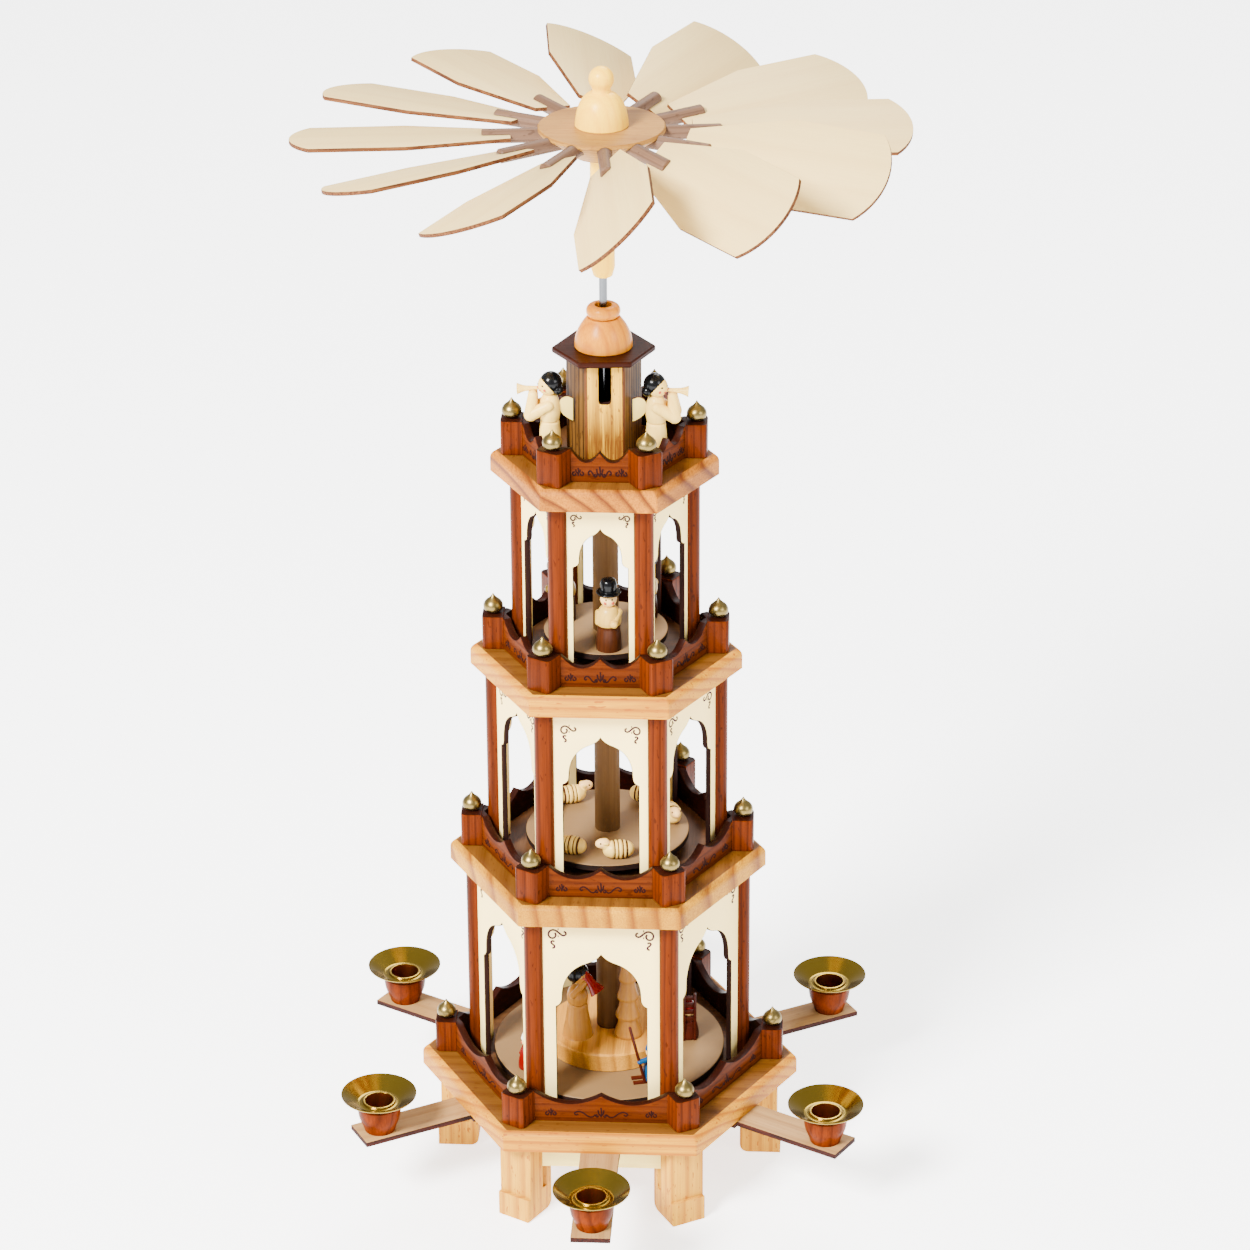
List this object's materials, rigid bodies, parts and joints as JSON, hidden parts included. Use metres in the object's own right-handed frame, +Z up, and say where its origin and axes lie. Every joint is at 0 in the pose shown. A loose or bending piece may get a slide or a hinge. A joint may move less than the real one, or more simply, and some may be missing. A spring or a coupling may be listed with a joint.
{
  "type": "christmas pyramid",
  "caption": "Candle-driven wooden tower of hexagonal platforms: a pitched-blade wing wheel turns a shaft with figure turntables inside arched arcades.",
  "frame": {"origin": "on the shaft's axis at the height of the legs' undersides", "axes": "+Z up along the shaft, -Y towards the front side with the middle candle holder, +X to the right"},
  "size_m": [0.2986, 0.343, 0.6],
  "materials": {
    "pine": "bare pine, sanded",
    "plywood": "bare plywood",
    "blade_plywood": "bare plywood, burnt edges",
    "stained_wood": "orange-brown stain, semi-gloss",
    "arcade_wood": "ivory panels between stained dowels",
    "turned_wood": "turned, clear varnish",
    "figure_wood": "turned figures, partly painted",
    "roof_wood": "dark red-brown stain",
    "spindle_wood": "matt brown",
    "disc_paint": "greige paint",
    "red_paint": "red gloss paint on wood",
    "blue_paint": "blue gloss paint on wood",
    "brown_paint": "dark red-brown paint",
    "brass": "polished",
    "steel": "polished rod"
  },
  "bodies": {
    "stand": {"leg_frame": "pine", "platform_1": "pine", "platform_2": "pine", "platform_3": "pine", "platform_4": "pine", "gallery_1": "stained_wood", "gallery_2": "stained_wood", "gallery_3": "stained_wood", "gallery_4": "stained_wood", "arcade_1": "arcade_wood", "arcade_2": "arcade_wood", "arcade_3": "arcade_wood", "bearing_cup": "brass", "guide_bush": "brass", "candle_arm_front": "plywood", "candle_arm_front_right": "plywood", "candle_arm_back_right": "plywood", "candle_arm_back": "plywood", "candle_arm_back_left": "plywood", "candle_arm_front_left": "plywood", "drip_tray_front": "brass", "drip_tray_front_right": "brass", "drip_tray_back_right": "brass", "drip_tray_back": "brass", "drip_tray_back_left": "brass", "drip_tray_front_left": "brass", "turret": "pine", "roof_plate": "roof_wood", "dome": "turned_wood", "collar_ring": "turned_wood", "angel_left": "figure_wood", "angel_right": "figure_wood"},
    "rotor": {"hub_knob": "turned_wood", "doll": "figure_wood", "tree": "figure_wood", "shaft": "steel", "spindle_1": "spindle_wood", "spindle_2": "spindle_wood", "spindle_3": "spindle_wood", "turntable_1": "disc_paint", "turntable_2": "disc_paint", "turntable_3": "disc_paint", "step_disc": "pine", "wing_hub": "pine", "child": "red_paint", "skier": "blue_paint", "sledge_child": "brown_paint", "hub_sleeve": "plywood"},
    "wing_01": {"paddle_01": "blade_plywood"},
    "wing_02": {"paddle_02": "blade_plywood"},
    "wing_03": {"paddle_03": "blade_plywood"},
    "wing_04": {"paddle_04": "blade_plywood"},
    "wing_05": {"paddle_05": "blade_plywood"},
    "wing_06": {"paddle_06": "blade_plywood"},
    "wing_07": {"paddle_07": "blade_plywood"},
    "wing_08": {"paddle_08": "blade_plywood"},
    "wing_09": {"paddle_09": "blade_plywood"},
    "wing_10": {"paddle_10": "blade_plywood"},
    "wing_11": {"paddle_11": "blade_plywood"},
    "wing_12": {"paddle_12": "blade_plywood"}
  },
  "joints": [
    {"name": "rotor_spin", "type": "hinge", "parent": "stand", "child": "rotor", "pos_m": [0, 0, 0.0528], "axis": [0, 0, 1], "continuous": true},
    {"name": "wing_pitch_01", "type": "hinge", "parent": "rotor", "child": "wing_01", "pos_m": [-0.0027, 0.02485, 0.5662], "axis": [-0.108, 0.9942, 0], "range_deg": [-24, 36]},
    {"name": "wing_pitch_02", "type": "hinge", "parent": "rotor", "child": "wing_02", "pos_m": [0.01009, 0.02287, 0.5662], "axis": [0.4035, 0.915, 0], "range_deg": [-30, 30]},
    {"name": "wing_pitch_03", "type": "hinge", "parent": "rotor", "child": "wing_03", "pos_m": [0.02017, 0.01477, 0.5662], "axis": [0.807, 0.5906, 0], "range_deg": [-17, 43]},
    {"name": "wing_pitch_04", "type": "hinge", "parent": "rotor", "child": "wing_04", "pos_m": [0.02485, 0.0027, 0.5662], "axis": [0.9942, 0.108, 0], "range_deg": [-14, 46]},
    {"name": "wing_pitch_05", "type": "hinge", "parent": "rotor", "child": "wing_05", "pos_m": [0.02287, -0.01009, 0.5662], "axis": [0.915, -0.4035, 0], "range_deg": [-40, 20]},
    {"name": "wing_pitch_06", "type": "hinge", "parent": "rotor", "child": "wing_06", "pos_m": [0.01477, -0.02017, 0.5662], "axis": [0.5906, -0.807, 0], "range_deg": [-41, 19]},
    {"name": "wing_pitch_07", "type": "hinge", "parent": "rotor", "child": "wing_07", "pos_m": [0.0027, -0.02485, 0.5662], "axis": [0.108, -0.9942, 0], "range_deg": [-44, 16]},
    {"name": "wing_pitch_08", "type": "hinge", "parent": "rotor", "child": "wing_08", "pos_m": [-0.01009, -0.02287, 0.5662], "axis": [-0.4035, -0.915, 0], "range_deg": [-20, 40]},
    {"name": "wing_pitch_09", "type": "hinge", "parent": "rotor", "child": "wing_09", "pos_m": [-0.02017, -0.01477, 0.5662], "axis": [-0.807, -0.5906, 0], "range_deg": [-15, 45]},
    {"name": "wing_pitch_10", "type": "hinge", "parent": "rotor", "child": "wing_10", "pos_m": [-0.02485, -0.0027, 0.5662], "axis": [-0.9942, -0.108, 0], "range_deg": [-7, 53]},
    {"name": "wing_pitch_11", "type": "hinge", "parent": "rotor", "child": "wing_11", "pos_m": [-0.02287, 0.01009, 0.5662], "axis": [-0.915, 0.4035, 0], "range_deg": [-9, 51]},
    {"name": "wing_pitch_12", "type": "hinge", "parent": "rotor", "child": "wing_12", "pos_m": [-0.01477, 0.02017, 0.5662], "axis": [-0.5906, 0.807, 0], "range_deg": [-7, 53]}
  ]
}
